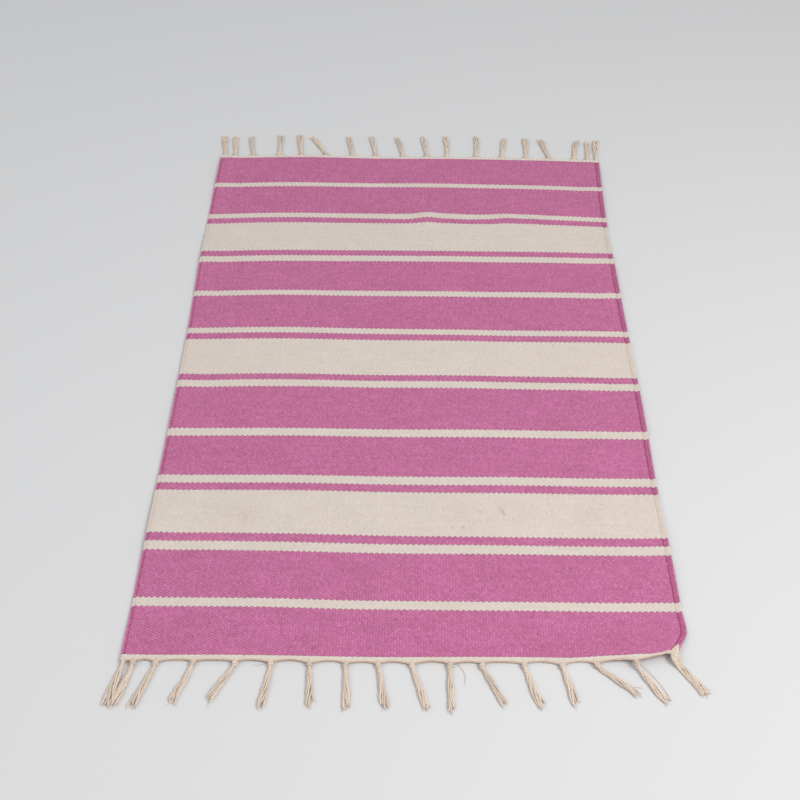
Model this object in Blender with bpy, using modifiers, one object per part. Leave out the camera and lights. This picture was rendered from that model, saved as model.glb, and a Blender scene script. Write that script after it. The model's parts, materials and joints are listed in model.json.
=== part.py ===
"""A flat-woven cotton bath mat with pink and cream cross stripes and knotted fringes.

Built the way the mat is made. Four lengths of warp run inside the cloth, and their outer
ends spread into the two hems. Each stripe is a flat sleeve of weft beaten up around the
warp. The warp ends leave the hems as knotted tassels. The mat folds across three lines,
and each tassel lifts about its knot.

Metres, +Z up. +X runs across the mat and +Y along it, away from the viewer. The origin is
under the middle of the mat, on the floor.
"""

import math

import bmesh
import bpy
from mathutils import Vector

# ---- driving dimensions ----
FIELD_WIDTH = 0.600  # selvedge to selvedge
FIELD_LENGTH = 0.900  # first pick to last, without the hems
CLOTH_THICKNESS = 0.0036
HEM_WIDTH = 0.006  # each end, outside the field
GAP = 0.0003  # air between neighbouring solids
SELVEDGE_RADIUS = 0.0014
SELVEDGE_SEGMENTS = 3

WARP_THICKNESS = 0.0012  # the sheet of warp cords hidden in the weft
WARP_WALL = 0.0014  # weft wrapped around the outermost warp

TASSEL_LENGTH = 0.058
KNOT_RADIUS = 0.0032
TASSEL_Z_AXIS = 0.0053  # height of the line a tassel lifts about
CURLED_TASSEL_Z_AXIS = 0.0092  # the same for the last near tassels, at the mat's curled corner
END_FOLD_Z = 0.0082  # height of the two outer fold lines
MID_FOLD_Z = 0.0185  # height of the middle one, above both folded ends

# The weaving draft from the far end to the near end: yarn, and how many picks are thrown.
DRAFT = (
    ("pink", 40), ("cream", 6), ("pink", 40), ("cream", 8), ("pink", 6),
    ("cream", 40), ("pink", 7), ("cream", 8), ("pink", 40), ("cream", 7),
    ("pink", 41), ("cream", 7), ("pink", 7), ("cream", 42), ("pink", 7),
    ("cream", 8), ("pink", 46), ("cream", 8), ("pink", 40), ("cream", 8),
    ("pink", 7), ("cream", 41), ("pink", 7), ("cream", 8), ("pink", 39),
    ("cream", 7), ("pink", 38),
)  # fmt: skip
MIDDLE_BAND = 14  # the band that the middle fold divides
FAR_FOLD_BAND = 6  # the far end fold runs along the outer edge of this wide band
NEAR_FOLD_BAND = 22  # and the near one along the outer edge of this band
PICK = FIELD_LENGTH / sum(picks for _, picks in DRAFT)

# Each tassel or corner cluster: the places of its bundles across the mat, and how far
# they lean to +X, in degrees from straight out.
NEAR_TASSELS = (
    ((-0.3000, -12), (-0.2880, -14), (-0.2640, -19)),
    ((-0.2240, -19),), ((-0.1790, -29),), ((-0.1410, -7),), ((-0.1000, 4),),
    ((-0.0610, 3),), ((-0.0265, 12),), ((0.0095, 18),), ((0.0500, 1),),
    ((0.0840, 27),), ((0.1290, 19),), ((0.1695, 15),), ((0.2060, 45),),
    ((0.2490, 31), (0.2880, 29)),
)  # fmt: skip
FAR_TASSELS = (
    ((-0.2935, -8), (-0.2775, -6), (-0.2490, -12)),
    ((-0.2080, -1),), ((-0.1730, -7),), ((-0.1335, -27),), ((-0.0920, -9),),
    ((-0.0550, -7),), ((-0.0115, -12),), ((0.0265, -7),), ((0.0585, -1),),
    ((0.1045, 3),), ((0.1455, 6),), ((0.1835, 3),), ((0.2200, -12),),
    ((0.2595, 9), (0.2800, 7), (0.2940, 5)),
)  # fmt: skip

# Radius of a tassel's bundle at shares of its length: root, knot, neck, skirt and tip.
BUNDLE = ((0, 0.0020), (0.04, 0.0030), (0.08, KNOT_RADIUS), (0.13, 0.0029),
          (0.18, 0.0021), (0.40, 0.0027), (0.75, 0.0030), (1, 0.0024))  # fmt: skip
STRAIGHT_SHARE = 0.12  # of a tassel's length that leaves the hem square to it
CLUSTER_MARGIN = 0.004  # cloth beyond the outer bundles' centres, in a corner cluster
CLUSTER_THICKNESS = 0.005

YARNS = {
    "pink": (0.545, 0.165, 0.325),
    "cream": (0.680, 0.610, 0.540),
    "warp": (0.730, 0.640, 0.540),
}
YARN_ROUGHNESS = 0.9


def fresh_scene():
    for ob in list(bpy.data.objects):
        bpy.data.objects.remove(ob)


def collection(name):
    made = bpy.data.collections.new(name)
    bpy.context.scene.collection.children.link(made)
    return made


def yarn_material(name, yarn):
    made = bpy.data.materials.new(name)
    made.use_nodes = True
    shader = made.node_tree.nodes["Principled BSDF"]
    shader.inputs["Base Color"].default_value = (*YARNS[yarn], 1)
    shader.inputs["Roughness"].default_value = YARN_ROUGHNESS
    shader.inputs["Metallic"].default_value = 0
    return made


def box(name, x_size, y_range, z_range, where):
    """A box centred on x = 0, its scale applied."""
    low = Vector((-x_size / 2, y_range[0], z_range[0]))
    high = Vector((x_size / 2, y_range[1], z_range[1]))
    mesh = bpy.data.meshes.new(name)
    bm = bmesh.new()
    bmesh.ops.create_cube(bm, size=1)
    bmesh.ops.scale(bm, vec=high - low, verts=bm.verts)
    bm.to_mesh(mesh)
    bm.free()
    made = bpy.data.objects.new(name, mesh)
    made.location = (low + high) / 2
    where.objects.link(made)
    return made


def round_selvedges(ob):
    """Rounds the four edges that run along the mat."""
    along = ob.data.attributes.new("bevel_weight_edge", "FLOAT", "EDGE")
    for edge in ob.data.edges:
        a, b = (ob.data.vertices[i].co for i in edge.vertices)
        runs_along = abs(a.x - b.x) < GAP and abs(a.z - b.z) < GAP
        along.data[edge.index].value = 1.0 if runs_along else 0.0
    bevel = ob.modifiers.new("selvedges", "BEVEL")
    bevel.limit_method = "WEIGHT"
    bevel.width = SELVEDGE_RADIUS
    bevel.segments = SELVEDGE_SEGMENTS


def hide_cutter(ob):
    ob.hide_render = True
    ob.display_type = "WIRE"


def boolean(ob, operand, operation):
    made = ob.modifiers.new(operation.lower(), "BOOLEAN")
    made.operation = operation
    made.object = operand


def hinge_empty(name, y, z, where, parent=None):
    """An empty on a fold or tassel axis, which runs across the mat."""
    made = bpy.data.objects.new(name, None)
    made.empty_display_size = 0.02
    where.objects.link(made)
    made.location = (0, y, z)
    adopt(made, parent)
    return made


def adopt(ob, parent):
    """Parents an object without moving it in the world."""
    if parent is None:
        return
    bpy.context.view_layer.update()
    ob.parent = parent
    ob.matrix_parent_inverse = parent.matrix_world.inverted()


def band_edges():
    """The Y of every stripe's far and near edge, from the draft."""
    y, edges = FIELD_LENGTH / 2, []
    for _, picks in DRAFT:
        edges.append((y, y - picks * PICK))
        y -= picks * PICK
    return edges


def add_band(name, yarn, far, near, slot, parent, where):
    """One stripe: a flat sleeve of weft, open at both ends for the warp."""
    y_range = (near + GAP / 2, far - GAP / 2)
    band = box(name, FIELD_WIDTH, y_range, (0, CLOTH_THICKNESS), where)
    round_selvedges(band)
    boolean(band, slot, "DIFFERENCE")
    band.data.materials.append(yarn_material(name, yarn))
    adopt(band, parent)


def add_bands(folds, slot, where):
    for number, ((yarn, _), (far, near)) in enumerate(zip(DRAFT, band_edges()), 1):
        if number == MIDDLE_BAND:
            names = (f"{yarn}_band_{number:02d}_far_half", f"{yarn}_band_{number:02d}_near_half")
            add_band(names[0], yarn, far, 0, slot, folds["far_middle"], where)
            add_band(names[1], yarn, 0, near, slot, folds["near_middle"], where)
            continue
        if number < FAR_FOLD_BAND:
            panel = "far_end"
        elif number < MIDDLE_BAND:
            panel = "far_middle"
        elif number <= NEAR_FOLD_BAND:
            panel = "near_middle"
        else:
            panel = "near_end"
        name = f"{yarn}_band_{number:02d}"
        add_band(name, yarn, far, near, slot, folds[panel], where)


def add_warp(panel, low, high, parent, where, cutters):
    """The warp inside one panel. At an outer end it spreads into the hem."""
    half, width = FIELD_LENGTH / 2, FIELD_WIDTH - 2 * (WARP_WALL + GAP)
    z_range = [(CLOTH_THICKNESS + s * WARP_THICKNESS) / 2 for s in (-1, 1)]
    y_range = (low + GAP / 2, high - GAP / 2)
    warp = box(f"warp_{panel}", width, y_range, z_range, where)
    for side, edge in ((-1, low), (1, high)):
        if abs(edge) > half:
            hem_range = sorted((side * (half + GAP / 2), edge))
            hem = box(f"hem_{panel}", FIELD_WIDTH, hem_range, (0, CLOTH_THICKNESS), cutters)
            round_selvedges(hem)
            hide_cutter(hem)
            boolean(warp, hem, "UNION")
            adopt(hem, parent)
    warp.data.materials.append(yarn_material(warp.name, "warp"))
    adopt(warp, parent)


def bundle_route(root_x, lean, side, y_edge):
    """Place and radius along one bundle, which leaves the hem square and then leans."""
    x, y, here, points = root_x, y_edge, 0.0, []
    for share, radius in BUNDLE:
        ramp = min(1.0, max(0.0, (share - STRAIGHT_SHARE) / STRAIGHT_SHARE))
        heading = math.radians(lean) * ramp
        x += math.sin(heading) * (share - here) * TASSEL_LENGTH
        y += side * math.cos(heading) * (share - here) * TASSEL_LENGTH
        here = share
        points.append((x, y, radius))
    return points


def add_bundle(name, root_x, lean, side, y_edge, parent, where):
    """A single tassel: a knot at the hem and a skirt of yarn lying on the floor."""
    curve = bpy.data.curves.new(name, "CURVE")
    curve.dimensions = "3D"
    curve.bevel_depth = 1.0
    curve.bevel_resolution = 2
    curve.use_fill_caps = True
    route = bundle_route(root_x, lean, side, y_edge)
    root_height = route[1][2]  # the first stretch is level, so that its end stands upright
    spline = curve.splines.new("POLY")
    spline.points.add(len(route) - 1)
    for point, (x, y, radius) in zip(spline.points, route):
        point.co = (x, y, root_height if y == y_edge else radius, 1)
        point.radius = radius
    tassel = bpy.data.objects.new(name, curve)
    tassel.data.materials.append(yarn_material(name, "warp"))
    where.objects.link(tassel)
    adopt(tassel, parent)


def add_cluster(name, bundles, side, y_edge, parent, where):
    """A corner's crowded bundles as one flat fan."""
    roots, tips = [], []
    for root_x, lean in bundles:
        tip_x, tip_y, _ = bundle_route(root_x, lean, side, y_edge)[-1]
        roots.append((root_x, y_edge))
        tips.append((tip_x, tip_y))
    margins = ((-CLUSTER_MARGIN, 0), (CLUSTER_MARGIN, 0))
    root_a, root_b = (Vector(p) + Vector(m) for p, m in zip((roots[0], roots[-1]), margins))
    tip_a, tip_b = (Vector(p) + Vector(m) for p, m in zip((tips[0], tips[-1]), margins))
    curve = bpy.data.curves.new(name, "CURVE")
    curve.dimensions = "2D"
    curve.fill_mode = "BOTH"
    curve.extrude = CLUSTER_THICKNESS / 2
    outline = (root_a, root_b, tip_b, tip_a)
    spline = curve.splines.new("POLY")
    spline.points.add(len(outline) - 1)
    spline.use_cyclic_u = True
    for point, place in zip(spline.points, outline):
        point.co = (place.x, place.y, 0, 1)
    fan = bpy.data.objects.new(name, curve)
    fan.location = (0, 0, CLUSTER_THICKNESS / 2)
    fan.data.materials.append(yarn_material(name, "warp"))
    where.objects.link(fan)
    adopt(fan, parent)


def add_fringe(end, tassels, side, panel, where):
    """All the tassels of one end, each on its own lifting axis."""
    axis_y = side * (FIELD_LENGTH / 2 + HEM_WIDTH + GAP / 2)
    y_edge = side * (FIELD_LENGTH / 2 + HEM_WIDTH + GAP)
    for number, bundles in enumerate(tassels, 1):
        curled = end == "near" and number == len(tassels)
        axis_z = CURLED_TASSEL_Z_AXIS if curled else TASSEL_Z_AXIS
        axis = hinge_empty(f"lift_{end}_{number:02d}", axis_y, axis_z, where, panel)
        if len(bundles) == 1:
            root_x, lean = bundles[0]
            name = f"{end}_tassel_{number:02d}"
            add_bundle(name, root_x, lean, side, y_edge, axis, where)
        else:
            name = f"{end}_corner_tassels_{number:02d}"
            add_cluster(name, bundles, side, y_edge, axis, where)


def main():
    fresh_scene()
    parts, cutters = collection("bath_mat"), collection("cutters")
    edges = band_edges()
    far_fold, near_fold = edges[FAR_FOLD_BAND - 1][0], edges[NEAR_FOLD_BAND - 1][1]
    end = FIELD_LENGTH / 2 + HEM_WIDTH

    near_middle = hinge_empty("mat", 0, 0, parts)
    far_middle = hinge_empty("fold_middle", 0, MID_FOLD_Z, parts, near_middle)
    near_end = hinge_empty("fold_near_end", near_fold, END_FOLD_Z, parts, near_middle)
    far_end = hinge_empty("fold_far_end", far_fold, END_FOLD_Z, parts, far_middle)
    panels = {
        "near_end": (-end, near_fold, near_end),
        "near_middle": (near_fold, 0, near_middle),
        "far_middle": (0, far_fold, far_middle),
        "far_end": (far_fold, end, far_end),
    }

    slot_half = WARP_THICKNESS / 2 + GAP
    slot_z = [CLOTH_THICKNESS / 2 + s * slot_half for s in (-1, 1)]
    slot = box("warp_slot", FIELD_WIDTH - 2 * WARP_WALL, (-end, end), slot_z, cutters)
    hide_cutter(slot)
    add_bands({name: panel[2] for name, panel in panels.items()}, slot, parts)
    for name, (low, high, parent) in panels.items():
        add_warp(name, low, high, parent, parts, cutters)
    add_fringe("near", NEAR_TASSELS, -1, near_end, parts)
    add_fringe("far", FAR_TASSELS, 1, far_end, parts)


main()
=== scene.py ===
"""The looks of a flat-woven cotton bath mat, laid on a pale floor.

Every stripe is a closed woven mesh: beads of weft in a brick lattice on both faces, with
edges that interlock with the next stripe's. The hems and the tassels are made of yarn.
One function, lay, says how the flat mat lies: its ripple, its curled corner and its
wandering edges. Metres, +Z up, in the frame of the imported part.
"""

import json
import math

import bpy
import numpy as np
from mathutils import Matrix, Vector


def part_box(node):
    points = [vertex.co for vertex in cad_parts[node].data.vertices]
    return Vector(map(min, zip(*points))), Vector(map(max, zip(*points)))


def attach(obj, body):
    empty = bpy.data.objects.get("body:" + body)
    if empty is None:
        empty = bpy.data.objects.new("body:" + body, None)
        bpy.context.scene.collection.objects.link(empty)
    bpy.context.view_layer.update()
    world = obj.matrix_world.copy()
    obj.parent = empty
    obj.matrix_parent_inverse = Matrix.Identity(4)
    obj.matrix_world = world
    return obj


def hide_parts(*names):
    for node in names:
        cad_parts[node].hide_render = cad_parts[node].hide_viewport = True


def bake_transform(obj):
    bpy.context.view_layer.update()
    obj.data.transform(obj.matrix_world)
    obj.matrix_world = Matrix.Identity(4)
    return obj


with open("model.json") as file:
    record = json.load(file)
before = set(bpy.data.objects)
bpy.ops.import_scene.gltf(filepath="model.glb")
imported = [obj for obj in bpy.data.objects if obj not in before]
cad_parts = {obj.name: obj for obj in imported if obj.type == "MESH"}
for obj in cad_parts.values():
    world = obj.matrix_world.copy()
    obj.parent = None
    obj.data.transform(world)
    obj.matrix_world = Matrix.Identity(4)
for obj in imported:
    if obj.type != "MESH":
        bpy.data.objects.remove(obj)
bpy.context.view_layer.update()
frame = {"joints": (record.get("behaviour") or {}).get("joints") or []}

SEED = 41
rng = np.random.default_rng(SEED)

# ---- the cloth ----
DRAFT = (
    ("pink", 40), ("cream", 6), ("pink", 40), ("cream", 8), ("pink", 6),
    ("cream", 40), ("pink", 7), ("cream", 8), ("pink", 40), ("cream", 7),
    ("pink", 41), ("cream", 7), ("pink", 7), ("cream", 42), ("pink", 7),
    ("cream", 8), ("pink", 46), ("cream", 8), ("pink", 40), ("cream", 8),
    ("pink", 7), ("cream", 41), ("pink", 7), ("cream", 8), ("pink", 39),
    ("cream", 7), ("pink", 38),
)  # fmt: skip
MIDDLE_BAND, FAR_FOLD_BAND, NEAR_FOLD_BAND = 14, 6, 22  # the stripes beside the folds
INNER_WARPS = {10: "warp_far_middle", 18: "warp_near_middle"}  # hidden, by covering stripe
PICKS = sum(picks for _, picks in DRAFT)
COLUMNS = 188  # of weft beads across the mat
PER_COLUMN = 3  # mesh stations across one column
PER_PICK = 2  # mesh rows along one pick
BEAD_RELIEF = 0.0008  # from the top of a bead to the hollow between two
HEM_TEETH = 0.4  # height of the zigzag against a hem, as a share of that between two stripes
BEAD_LEAN = -0.46  # of a bead's length, from one side of a column to the other
COLUMN_DIP = 0.72  # height of the cloth between two columns, as a share of a bead's
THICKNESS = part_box("pink_band_01")[1].z
HALF_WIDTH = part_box("pink_band_01")[1].x
FAR_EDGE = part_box("pink_band_01")[1].y
NEAR_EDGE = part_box("pink_band_27")[0].y
PICK = (FAR_EDGE - NEAR_EDGE) / PICKS
COLUMN = 2 * HALF_WIDTH / COLUMNS
AT_A_COLUMN = 1e-3  # a station this near to the start of a column lies between two
NEAR_HEM_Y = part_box("warp_near_end")[0].y
FAR_HEM_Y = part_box("warp_far_end")[1].y

# The grooves along the selvedges: side, columns in from the edge, and depth in beads.
GROOVES = ((1, 2, 0.9), (1, 1, 0.4), (-1, 1, 0.5))
GROOVE_WIDTH = 0.0010
# How the rounded selvedge rises: distance in from the edge, and share of half the thickness.
SELVEDGE = ((0.00015, 0.42), (0.0005, 0.74))
SELVEDGE_LOOP = 0.0003  # how far each turn of the weft stands out at the selvedge

# ---- colours, linear ----
PINK = (0.650, 0.205, 0.395)
CREAM = (0.735, 0.658, 0.598)
WARP = (0.780, 0.665, 0.560)
HEM = (0.740, 0.665, 0.600)
FLOOR = (0.72, 0.72, 0.725)
# the brown of the stains, also used for one patch of painted shade by the ripples
STAIN_AND_SHADE = (0.36, 0.26, 0.20)


def smooth(t):
    t = np.clip(t, 0, 1)
    return t * t * (3 - 2 * t)


def ramp(value, start, length):
    """From 0 at start to 1 after length, smoothly."""
    return smooth((value - start) / length)


def hill(value, centre, width):
    return np.exp(-(((value - centre) / width) ** 2))


def table_at(table, u, v):
    """A table of numbers read smoothly at row u and column v, which may be fractions."""
    t = np.asarray(table, float)
    t = np.pad(t, ((1, 1), (1, 1)), mode="edge")
    rows, columns = t.shape
    u, v = np.broadcast_arrays(np.clip(u, 0, rows - 3.001), np.clip(v, 0, columns - 3.001))
    i, j = u.astype(int), v.astype(int)
    a, b = u - i, v - j

    def weights(f):
        return (
            0.5 * (-f + 2 * f**2 - f**3), 0.5 * (2 - 5 * f**2 + 3 * f**3),
            0.5 * (f + 4 * f**2 - 3 * f**3), 0.5 * (-(f**2) + f**3),
        )  # fmt: skip

    wa, wb = weights(a), weights(b)
    return sum(wa[m] * wb[n] * t[i + m, j + n] for m in range(4) for n in range(4))


# How far the weft wanders along the mat, in millimetres: rows from the far end to the near
# end, and columns from left to right.
WEFT_WANDER = (
    (1.7, 4.1, 4.7, 3.9, 3.4, 3.6, 3.4, 0.9, -3.2),
    (-2.0, 1.2, 2.2, 1.8, 1.5, 1.6, 0.8, -2.0, -6.0),
    (-3.9, -0.8, 0.8, 0.7, -0.1, -0.3, -0.1, -2.7, -6.1),
    (-5.9, -3.4, -1.5, -1.2, -1.7, -0.9, -0.4, -2.3, -4.8),
    (-6.8, -3.6, -1.4, -0.8, -1.4, -0.6, -1.0, -2.0, -2.9),
    (-4.4, -1.8, -0.3, -0.4, -1.0, -0.7, -0.8, -1.6, -2.4),
    (-3.9, -1.9, -1.0, -1.5, -2.7, -2.6, -2.7, -3.1, -3.5),
    (-3.6, -1.2, -0.7, -1.2, -1.8, -2.0, -2.4, -3.0, -4.2),
    (-3.4, -0.5, 0.2, 0.0, 0.2, 0.1, -0.2, -1.1, -3.4),
    (-2.1, -0.3, 0.2, -0.1, -0.1, 0.2, 0.5, 0.1, -1.2),
    (-1.5, 0.0, 0.5, 0.2, 0.1, -0.0, 0.7, 0.2, -0.1),
    (-0.4, 1.1, 1.1, 0.3, -0.4, -0.8, -0.6, -0.7, -1.0),
    (-1.0, 0.4, -0.4, -1.6, -2.2, -2.3, -1.9, -1.9, -2.2),
    (-3.6, -3.1, -3.3, -4.4, -4.4, -4.7, -3.9, -4.2, -3.4),
    (-5.1, -4.1, -3.9, -4.0, -4.0, -2.6, -1.7, -3.1, -5.0),
)
# How far each selvedge wanders across the mat, in millimetres, in the same rows.
SELVEDGE_WANDER = (
    (-0.1, -2.0),
    (-0.6, -3.9),
    (-1.1, -5.1),
    (-1.5, -4.8),
    (-1.4, -3.7),
    (-0.3, -2.7),
    (0.9, -1.3),
    (1.3, 0.3),
    (1.2, 1.6),
    (0.9, 2.1),
    (0.1, 2.5),
    (-0.5, 3.9),
    (-1.0, 5.6),
    (-1.7, 6.8),
    (-2.2, 7.0),
)
HALF_LENGTH = FAR_HEM_Y
LEAST_HEIGHT = 0.00005  # of the cloth's underside over the floor
SWELL = 0.0004  # half the height of the shallow waves all over the mat
EDGE_SWELL = 0.0007  # half that of those along the selvedges
# The ripple across the far wide cream stripe's edge, and a shallow one beyond it.
RIPPLE_CRESTS = ((0.031, 1.0), (0.064, 0.32), (0.151, 0.50), (0.187, 0.25))  # x and share
RIPPLE_Y, CREST_WIDTH, RIPPLE_LENGTH = 0.303, 0.019, 0.020
RIPPLE_HEIGHT, RIPPLE_PUSH = 0.0034, 0.0016
SMALL_RIPPLE = 0.0016
BEATEN_CLOSER = 0.0024  # how much narrower the fourth stripe is at the selvedges
# The curled corner at the near right: how high it curls, how much lower its very edge is
# tucked, and how far its hem is drawn up, its bulge stands out and its tip is pulled in.
CURL_HEIGHT, TUCK = 0.0072, 0.66
DRAWN_UP = ((0.0030, 0.165, 0.050), (0.0080, 0.225, 0.085))  # height, x from, over
TIP_DRAWN_UP = 0.0030
CORNER_BULGE, TIP_PULLED_IN = 0.0017, 0.0125
HEM_NARROWED = 0.0022


def lay(x, y):
    """How far the flat mat's point x, y moves when the mat is laid: three arrays."""
    row = (HALF_LENGTH - y) / (2 * HALF_LENGTH) * (len(WEFT_WANDER) - 1)
    place = (x + HALF_WIDTH) / (2 * HALF_WIDTH)
    dx = table_at(SELVEDGE_WANDER, row, place) / 1000
    dy = table_at(WEFT_WANDER, row, place * (len(WEFT_WANDER[0]) - 1)) / 1000
    dz = SWELL * (1 + np.sin(2 * np.pi * x / 0.21 + 1.3 * np.sin(7 * y)))
    dz += SWELL * (1 + np.sin(2 * np.pi * y / 0.17 + 1.1 * np.sin(9 * x)))
    lifted = ramp(np.abs(x), 0.262, 0.03)
    dz += EDGE_SWELL * lifted * (1 + np.sin(2 * np.pi * y / 0.23 + 12 * x))
    ripple = sum(share * hill(x, at, CREST_WIDTH) for at, share in RIPPLE_CRESTS)
    ripple = ripple * hill(y, RIPPLE_Y, RIPPLE_LENGTH)
    dz += RIPPLE_HEIGHT * ripple
    dy += RIPPLE_PUSH * ripple
    dz += SMALL_RIPPLE * hill(x, 0.005, 0.020) * hill(y, 0.348, 0.012)
    # the fourth stripe is beaten closer towards the selvedges, and the fifth less
    dy += BEATEN_CLOSER * (1 - hill(x, 0.020, 0.085)) * hill(y, 0.2997, 0.006)
    # the curled corner
    near = -y
    tucked = ramp(x, 0.281, 0.020)
    dz += CURL_HEIGHT * (ramp(x, 0.185, 0.085) * ramp(near, 0.395, 0.058)) * (1 - TUCK * tucked)
    drawn_up = sum(height * ramp(x, at, length) for height, at, length in DRAWN_UP)
    dy += drawn_up * ramp(near, 0.405, 0.050)
    dy += TIP_DRAWN_UP * ramp(x, 0.275, 0.020) * ramp(near, 0.425, 0.030)
    dx += CORNER_BULGE * ramp(x, 0.24, 0.06) * hill(y, -0.408, 0.016)
    dx -= TIP_PULLED_IN * ramp(x, 0.245, 0.050) * ramp(near, 0.414, 0.046)
    # the hem is narrower beside that corner
    narrowed = ramp(near, 0.425, 0.025) * (1 - ramp(near, 0.450, 0.006))
    dy -= HEM_NARROWED * ramp(x, 0.238, 0.026) * narrowed
    return dx, dy, dz


def laid(points):
    """Flat points moved to where they lie."""
    moved = points + np.stack(lay(points[..., 0], points[..., 1]), axis=-1)
    moved[..., 2] = np.maximum(moved[..., 2], LEAST_HEIGHT)
    return moved


def unlaid(x, y):
    """The flat x that lies at x once the mat is laid, at the flat y."""
    flat = x
    for _ in range(4):
        flat = x - lay(np.array([flat]), np.array([y]))[0][0]
    return flat


# ---- mesh building ----
def new_mesh(name, verts, faces, flat_faces, flat, weave, uv):
    """One object from arrays. faces is a list of arrays of quads or triangles."""
    me = bpy.data.meshes.new(name)
    me.vertices.add(len(verts))
    me.vertices.foreach_set("co", verts.astype(np.float32).ravel())
    loops = np.concatenate([f.ravel() for f in faces])
    sizes = np.concatenate([np.full(len(f), f.shape[1]) for f in faces])
    me.loops.add(len(loops))
    me.loops.foreach_set("vertex_index", loops.astype(np.int32))
    me.polygons.add(len(sizes))
    starts = np.concatenate(([0], np.cumsum(sizes)[:-1]))
    me.polygons.foreach_set("loop_start", starts.astype(np.int32))
    is_smooth = np.concatenate([np.full(len(f), not s) for f, s in zip(faces, flat_faces)])
    me.polygons.foreach_set("use_smooth", is_smooth)
    me.update(calc_edges=True)
    layer = me.uv_layers.new(name="OFBake")
    layer.data.foreach_set("uv", uv.astype(np.float32).ravel())
    for key, values in (("flat", flat), ("weave", weave)):
        kept = me.attributes.new(key, "FLOAT_VECTOR", "POINT")
        kept.data.foreach_set("vector", values.astype(np.float32).ravel())
    ob = bpy.data.objects.new(name, me)
    bpy.context.scene.collection.objects.link(ob)
    return ob


def add_sleeve(name, top, bottom, flat_top, flat_bottom, weave_top, weave_bottom):
    """A closed flat sleeve. top and bottom are rows of stations, rows x stations x 3, and
    they share their first and last stations, which run along the two selvedges."""
    rows, count = top.shape[:2]
    last = count - 1
    ring = 2 * last  # stations round one row: top from left to right, then back below

    def joined(a, b):
        return np.concatenate((a, b[:, -2:0:-1]), axis=1).reshape(rows * ring, -1)

    verts = joined(top, bottom)
    index = np.arange(rows * ring).reshape(rows, ring)
    nxt = np.roll(index, -1, axis=1)
    sides = np.stack((index[:-1], index[1:], nxt[1:], nxt[:-1]), axis=-1).reshape(-1, 4)
    k = np.arange(1, last - 1)
    caps, ends = [], []
    for row, turn in ((0, 1), (rows - 1, -1)):
        r = index[row]
        caps.append(np.stack((r[k], r[k + 1], r[ring - k - 1], r[ring - k]), -1)[:, ::turn])
        corners = ((r[0], r[1], r[ring - 1]), (r[last - 1], r[last], r[last + 1]))
        ends.append(np.array(corners)[:, ::turn])
    caps, ends = np.concatenate(caps), np.concatenate(ends)
    uv = sleeve_uv(rows, ring, len(caps), len(ends), top)
    return new_mesh(
        name, verts, [sides, caps, ends], [False, True, True],
        joined(flat_top, flat_bottom), joined(weave_top, weave_bottom), uv,
    )  # fmt: skip


# A sleeve's map: strips, then a row of its flat caps and a row of the caps' end triangles.
STRIPS_TOP = 0.97
STRIP_LENGTH, STRIP_HEIGHT, STRIP_FROM = 0.985, 0.94, 0.03
CAPS_FROM, CAPS_TO = 0.975, 0.985
ENDS_FROM, ENDS_TO = 0.989, 0.999


def sleeve_uv(rows, ring, caps, ends, top):
    """A map of the sleeve in stacked strips, so that its texture is nearly square."""
    length = np.abs(top[0, -1, 0] - top[0, 0, 0]) * 2
    width = np.abs(top[0, 0, 1] - top[-1, 0, 1])
    strips = max(1, round(math.sqrt(length / width)))
    per = math.ceil(ring / strips)
    k = np.arange(ring)
    strip, at = k // per, k % per
    u0, u1 = (at + 0.2) / per * STRIP_LENGTH, (at + 1.2) / per * STRIP_LENGTH
    r = np.arange(rows - 1) / (rows - 1)
    step = 1 / (rows - 1)

    def v(row):
        return (strip[None] + row[:, None] * STRIP_HEIGHT + STRIP_FROM) / strips * STRIPS_TOP

    grid = (rows - 1, ring)
    corners = (
        (u0, v(r)), (u0, v(r + step)), (u1, v(r + step)), (u1, v(r)),
    )  # fmt: skip
    sides = np.stack([np.stack((np.broadcast_to(a, grid), b), -1) for a, b in corners], axis=2)
    c = np.arange(caps)
    w = 1 / caps
    cap = np.stack(
        [np.stack(p, -1) for p in (
            (c * w, np.full(caps, CAPS_FROM)), ((c + 1) * w, np.full(caps, CAPS_FROM)),
            ((c + 1) * w, np.full(caps, CAPS_TO)), (c * w, np.full(caps, CAPS_TO)),
        )], axis=1,
    )  # fmt: skip
    e = np.arange(ends)
    end = np.stack(
        [np.stack(p, -1) for p in (
            (e / ends, np.full(ends, ENDS_FROM)), ((e + 0.8) / ends, np.full(ends, ENDS_FROM)),
            ((e + 0.4) / ends, np.full(ends, ENDS_TO)),
        )], axis=1,
    )  # fmt: skip
    return np.concatenate((sides.reshape(-1, 2), cap.reshape(-1, 2), end.reshape(-1, 2)))


# ---- the weave ----
bead_size = rng.uniform(0.72, 1.08, (COLUMNS + 1, PICKS + 4))
bead_tone = rng.uniform(0, 1, (COLUMNS + 1, PICKS + 4))
STREAKS = 26  # places across the mat where each pick has a tone of its own
pick_tone = rng.uniform(0, 1, (PICKS + 4, STREAKS + 2))


def across():
    """The stations across the mat: x, column, and place within the column from 0 to 1."""
    at = np.arange(COLUMNS * PER_COLUMN + 1) / PER_COLUMN
    x = -HALF_WIDTH + at * COLUMN
    edge = np.array([d for d, _ in SELVEDGE])
    x = np.sort(np.concatenate((x, -HALF_WIDTH + edge, HALF_WIDTH - edge)))
    at = (x + HALF_WIDTH) / COLUMN
    column = np.minimum(np.floor(at + 1e-6), COLUMNS - 1)
    return x, column.astype(int), at - column


def selvedge_rise(x):
    """Share of half the thickness that the sleeve has at x, rounded at both selvedges."""
    d = HALF_WIDTH - np.abs(x)
    known = ((0, 0), *SELVEDGE, (COLUMN / 3, 0.90), (COLUMN * 2 / 3, 0.98), (COLUMN, 1))
    return np.interp(d, [a for a, _ in known], [b for _, b in known])


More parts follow.
